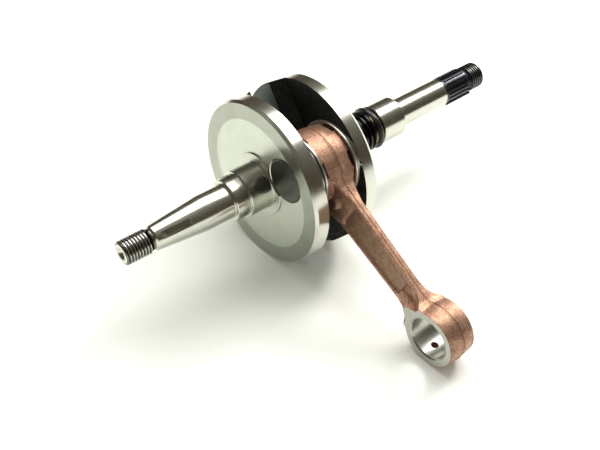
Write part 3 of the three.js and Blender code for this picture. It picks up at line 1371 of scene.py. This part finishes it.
    def raise_flash(self, piece: bpy.types.Object) -> None:
        """Leaves the thin line where the two dies met, proud of the skin all round.

        Args:
            piece: the forged blank.
        """
        for vertex in piece.data.vertices:
            vertex.select = abs(vertex.co.x) < 0.36 * MM
        for group in (piece.data.edges, piece.data.polygons):
            for part in group:
                part.select = False
        pick_up(piece)
        bpy.context.tool_settings.mesh_select_mode = (True, False, False)
        bpy.ops.object.mode_set(mode="EDIT")
        bpy.ops.transform.shrink_fatten(value=0.2 * MM)
        bpy.ops.object.mode_set(mode="OBJECT")

    def spool(
        self, name: str, flange: float, bore: float, half: float, chamfer: float, centre: Vector
    ) -> bpy.types.Object:
        """Returns the tool that bores an end and faces both its sides.

        Args:
            name: the tool's name.
            flange: radius of its facing discs.
            bore: radius of the bore.
            half: half the width left between the faces.
            chamfer: chamfer at the bore's ends.
            centre: a point on the bore's axis.

        Returns:
            A closed solid.
        """
        return turned(
            name,
            [
                (0, -12), (flange, -12), (flange, -half), (bore + chamfer, -half),
                (bore, -half + chamfer), (bore, half - chamfer), (bore + chamfer, half),
                (flange, half), (flange, 12), (0, 12),
            ],
            96,
            centre,
        )

    def machine(self, piece: bpy.types.Object) -> None:
        """Bores and faces both ends, drills the oil hole and mills the oil slots.

        Args:
            piece: the forging.
        """
        here, there = self.at(0, 0, 0), self.at(self.length, 0, 0)
        work(piece, self.spool("race", 17, self.race, self.big_width / 2, 0.4, here), Boolean.CUT)
        work(piece, self.spool("bore", 15, self.bore, self.small_width / 2, 0.55, there),
             Boolean.CUT)
        drill = turned(
            "drill", [(0, 0), (self.oil_hole, 0), (self.oil_hole, 20), (0, 20)], 32
        )
        outward = self.at(math.cos(self.oil_turn), 0, -math.sin(self.oil_turn))
        turn = Vector((1, 0, 0)).rotation_difference(outward).to_matrix().to_4x4()
        moved(drill, Matrix.Translation(there * MM) @ turn)
        work(piece, drill, Boolean.CUT)
        for number, (angle, hand) in enumerate(
            (angle, hand) for angle in self.oil_slots for hand in (-1, 1)
        ):
            corners = [
                Vector((hand * 5.8, tangent, radial))
                for radial, tangent in ((9.5, -3.1), (17, -3.1), (17, 3.1), (9.5, 3.1))
            ]
            slot = pressed(f"slot_{number}", corners, Vector((hand * 4, 0, 0)))
            moved(slot, Matrix.Rotation(math.radians(90 - angle), 4, "X"))
            work(piece, slot, Boolean.CUT)

    def finish_of(self, finishes: Finishes) -> list[Finish]:
        """Returns the rod's finishes: bored and faced steel, copper elsewhere, a darker copper as
        painted shade on the pocket floors and a painted shadow beside the flash line.
        """
        small = self.at(self.length, 0, 0)

        def off_small(place: Vector) -> float:
            return math.hypot(place.y - small.y, place.z - small.z)

        def bores(centre: Vector, normal: Vector) -> bool:
            return off_small(centre) < self.bore + 0.6 or off_axis(centre) < self.race + 0.45

        def faces(centre: Vector, normal: Vector) -> bool:
            wide = self.small_width / 2 if off_small(centre) < 20 else self.big_width / 2
            return abs(normal.x) > 0.97 and abs(abs(centre.x) - wide) < 0.03

        # faces just beside the flash line on one side: painted shadow of the dies' step
        def flash_shadow_strip(centre: Vector, normal: Vector) -> bool:
            ends = 11.0 < off_small(centre) < 12.6 or 14.0 < off_axis(centre) < 15.8
            return ends and 0.3 < centre.x < 0.75

        # pocket floors get the darker copper, painted shade in the recess
        def pocket(centre: Vector, normal: Vector) -> bool:
            floor = self.shank - self.pocket
            return (
                abs(normal.x) > 0.9
                and abs(centre.x) < floor + 0.15
                and 20 < -centre.y < 62
            )

        return [
            (finishes.bored, bores),
            (finishes.bored, faces),
            (finishes.pocket_shade_copper, pocket),
            # painted shadow beside the flash line
            (finishes.scale, flash_shadow_strip),
            (finishes.copper, anywhere),
        ]

    def build(self, finishes: Finishes) -> bpy.types.Object:
        """Makes the rod and swings it to where the CAD rod lies.

        Args:
            finishes: all finishes.

        Returns:
            The finished piece.
        """
        piece = self.blank()
        self.raise_flash(piece)
        self.machine(piece)
        pick_up(piece)
        bpy.ops.object.mode_set(mode="EDIT")
        close_up(0.001)
        smoothed(piece, 38.0)
        dressed(piece, self.finish_of(finishes))
        reach = BENCH.small_end() - PIN
        slope = math.atan2(-reach.z, -reach.y)
        moved(piece, Matrix.Translation(PIN * MM) @ Matrix.Rotation(slope, 4, "X"))
        settled(piece, "connecting_rod", "connecting_rod")
        return piece


# ---- needle bearing -------------------------------------------------------------------------
@dataclass
class NeedleBearing:
    """The caged needle bearing, whose CAD cage and rollers are kept as they are."""

    rollers: int = 14

    def dress(self, finishes: Finishes) -> None:
        """Gives the cage and every roller its finish.

        Args:
            finishes: all finishes.
        """
        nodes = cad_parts
        nodes["needle_cage"].material_slots[0].material = finishes.cage
        for number in range(1, self.rollers + 1):
            nodes[f"needle_roller_{number:02d}"].material_slots[0].material = finishes.roller
        log.info("needle bearing: cage and %d rollers dressed", self.rollers)


# ---- studio ---------------------------------------------------------------------------------
@dataclass
class Studio:
    """Pale floor, soft light from above and the camera, in metres and degrees."""

    floor_size: float = 8.0
    floor_colour: str = "#FAFAF6"
    camera_place: tuple[float, float, float] = (-0.20727, -0.19198, 0.2699)
    camera_right: tuple[float, float, float] = (0.7625, -0.6467, 0.0201)
    camera_down: tuple[float, float, float] = (-0.4222, -0.5207, -0.7420)
    lens: float = 54.91

    def build_floor(self) -> None:
        """Lays the floor."""
        put_down()
        bpy.ops.mesh.primitive_plane_add(size=self.floor_size, location=(0, 0, -0.0001))
        floor = bpy.context.active_object
        floor.name = "floor"
        paper = new_material("matt_white_paper")
        tree = paper.node_tree
        shader = add_node(
            tree,
            "ShaderNodeBsdfPrincipled",
            {},
            {
                "Base Color": tint(self.floor_colour),
                "Roughness": 0.85,
                "Specular IOR Level": 0.15,
            },
        )
        add_node(tree, "ShaderNodeOutputMaterial", {}, {"Surface": shader.outputs[0]})
        floor.data.materials.append(paper)

    def build_world(self) -> None:
        """Paints the room: the metal mirrors warm dark walls, and pale light fills the floor."""
        world = bpy.data.worlds.new("room")
        bpy.context.scene.world = world
        world.use_nodes = True
        tree = world.node_tree
        tree.nodes.clear()
        way = add_node(tree, "ShaderNodeTexCoord")
        parts = add_node(tree, "ShaderNodeSeparateXYZ", {}, {0: way.outputs["Generated"]})
        height = add_node(
            tree,
            "ShaderNodeMapRange",
            {},
            {"Value": parts.outputs[2], "From Min": -0.1, "From Max": 1.0},
        )
        room = ramp(
            add_node(tree, "ShaderNodeValToRGB", {}, {0: height.outputs[0]}),
            [
                (0.0, tint("#4A3D33")),
                (0.30, tint("#54483D")),
                (0.50, tint("#5D564B")),
                (0.75, tint("#77736A")),
                (1.0, tint("#9A978D")),
            ],
        )
        path = add_node(tree, "ShaderNodeLightPath")
        pale = add_node(
            tree,
            "ShaderNodeMath",
            {"operation": "MAXIMUM"},
            {0: path.outputs["Is Diffuse Ray"], 1: path.outputs["Is Camera Ray"]},
        )
        seen = add_node(
            tree,
            "ShaderNodeMix",
            {"data_type": "RGBA"},
            {0: pale.outputs[0], 6: room.outputs[0], 7: tint("#B9BCB5")},
        )
        back = add_node(
            tree, "ShaderNodeBackground", {}, {"Color": seen.outputs[2], "Strength": 1.0}
        )
        add_node(tree, "ShaderNodeOutputWorld", {}, {"Surface": back.outputs[0]})

    def hang_light(
        self, name: str, place: Vector, size: tuple[float, float], power: float, colour: str
    ) -> None:
        """Hangs a soft box that looks at the object.

        Args:
            name: the light's name.
            place: where it hangs, in metres.
            size: its width and height, in metres.
            power: its power, in watts.
            colour: sRGB hex colour.
        """
        put_down()
        bpy.ops.object.light_add(type="AREA", location=place)
        light = bpy.context.active_object
        light.name = name
        light.data.shape = "RECTANGLE"
        light.data.size, light.data.size_y = size
        light.data.energy = power
        light.data.color = tint(colour)[:3]
        look = (Vector((0, 0, 0.03)) - place).normalized()
        light.rotation_euler = look.to_track_quat("-Z", "Y").to_euler()

    def set_camera(self) -> None:
        """Sets the camera up where it looked at the crank from."""
        right = Vector(self.camera_right).normalized()
        up = -Vector(self.camera_down)
        up = (up - right * up.dot(right)).normalized()
        turn = Matrix((right, up, right.cross(up))).transposed().to_4x4()
        bpy.ops.object.camera_add(location=(0, 0, 0))
        camera = bpy.context.active_object
        camera.name = "camera"
        camera.matrix_world = Matrix.Translation(Vector(self.camera_place)) @ turn
        camera.data.sensor_fit = "HORIZONTAL"
        camera.data.sensor_width = 36.0
        camera.data.lens = self.lens
        camera.data.clip_start = 0.01
        bpy.context.scene.camera = camera

    def build(self) -> None:
        """Builds floor, room, lights and camera."""
        self.build_floor()
        self.build_world()
        self.hang_light("ceiling_box", Vector((0.32, 0.4, 1.2)), (1.7, 0.85), 18.0, "#FFFEFA")
        self.hang_light("side_box", Vector((0.9, 0.12, 0.75)), (0.3, 0.3), 8.0, "#FFFEFA")
        self.set_camera()
        bpy.context.scene.view_settings.view_transform = "Standard"
        log.info("studio built")


def main() -> None:
    """Builds each sub-assembly in order, then the studio."""
    logging.basicConfig(level=logging.INFO, format="%(name)s: %(message)s")
    finishes = Finishes()
    LeftCrankHalf(
        name="left_web_and_taper_shaft",
        node="left_crank_half",
        mirrored=False,
        shaft=LEFT_SHAFT,
        threads=[Thread(-65.6, 1.25, 10, 4.25, 5.0, 0.11, 0.44, (-64.35, -52.2, 0.7))],
    ).build(finishes)
    RightCrankHalf(
        name="right_web_and_drive_shaft",
        node="right_crank_half",
        mirrored=True,
        shaft=RIGHT_SHAFT,
        threads=[
            Thread(46.6, 2.5, 5, 7.6, 9.1, 0.13, 0.40, (47.5, 57.9, 0.5)),
            Thread(119.6, 1.25, 9, 5.2, 6.0, 0.09, 0.46, (120.5, 129.4, 0.8)),
        ],
    ).build(finishes)
    CrankPin().build(finishes)
    ThrustWasher("left_tumbled_washer", "left_thrust_washer", -1).build(finishes)
    ThrustWasher("right_tumbled_washer", "right_thrust_washer", 1).build(finishes)
    ShaftSealRing().build(finishes)
    ConnectingRod().build(finishes)
    NeedleBearing().dress(finishes)
    Studio().build()


if __name__ == "__main__":
    main()
